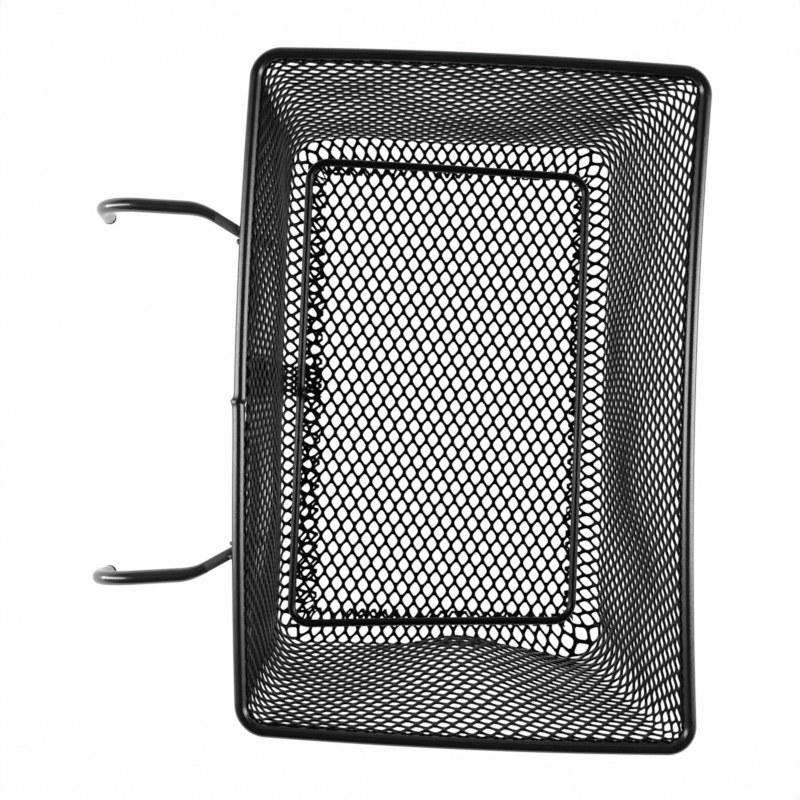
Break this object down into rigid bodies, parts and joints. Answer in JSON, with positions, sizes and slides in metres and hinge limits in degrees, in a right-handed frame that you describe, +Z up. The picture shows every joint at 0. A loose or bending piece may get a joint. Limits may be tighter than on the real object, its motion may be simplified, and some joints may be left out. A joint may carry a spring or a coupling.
{
  "type": "bicycle basket",
  "caption": "Open bicycle basket of black diamond mesh with a tube rim, a clamped mesh floor and two sleeved hooks that hang over a handlebar.",
  "frame": {"origin": "middle of the base, on the underside of the floor panel, at a bond of the mesh", "axes": "+X forward, away from the bicycle, +Y to the rider's left along the basket, +Z up"},
  "size_m": [0.3127, 0.3508, 0.1933],
  "materials": {
    "rim_coat": "gloss black powder coat on steel tube",
    "mesh_coat": "gloss black powder coat on expanded steel sheet",
    "ring_coat": "gloss black powder coat on steel wire",
    "hook_coat": "satin black powder coat on steel rod",
    "sleeve_vinyl": "soft black vinyl, low gloss"
  },
  "bodies": {
    "root": {"rim_tube": "rim_coat", "side_mesh": "mesh_coat", "floor_mesh": "mesh_coat", "floor_ring": "ring_coat", "hook_left": "hook_coat", "hook_right": "hook_coat", "hook_sleeve_left": "sleeve_vinyl", "hook_sleeve_right": "sleeve_vinyl"}
  },
  "joints": []
}
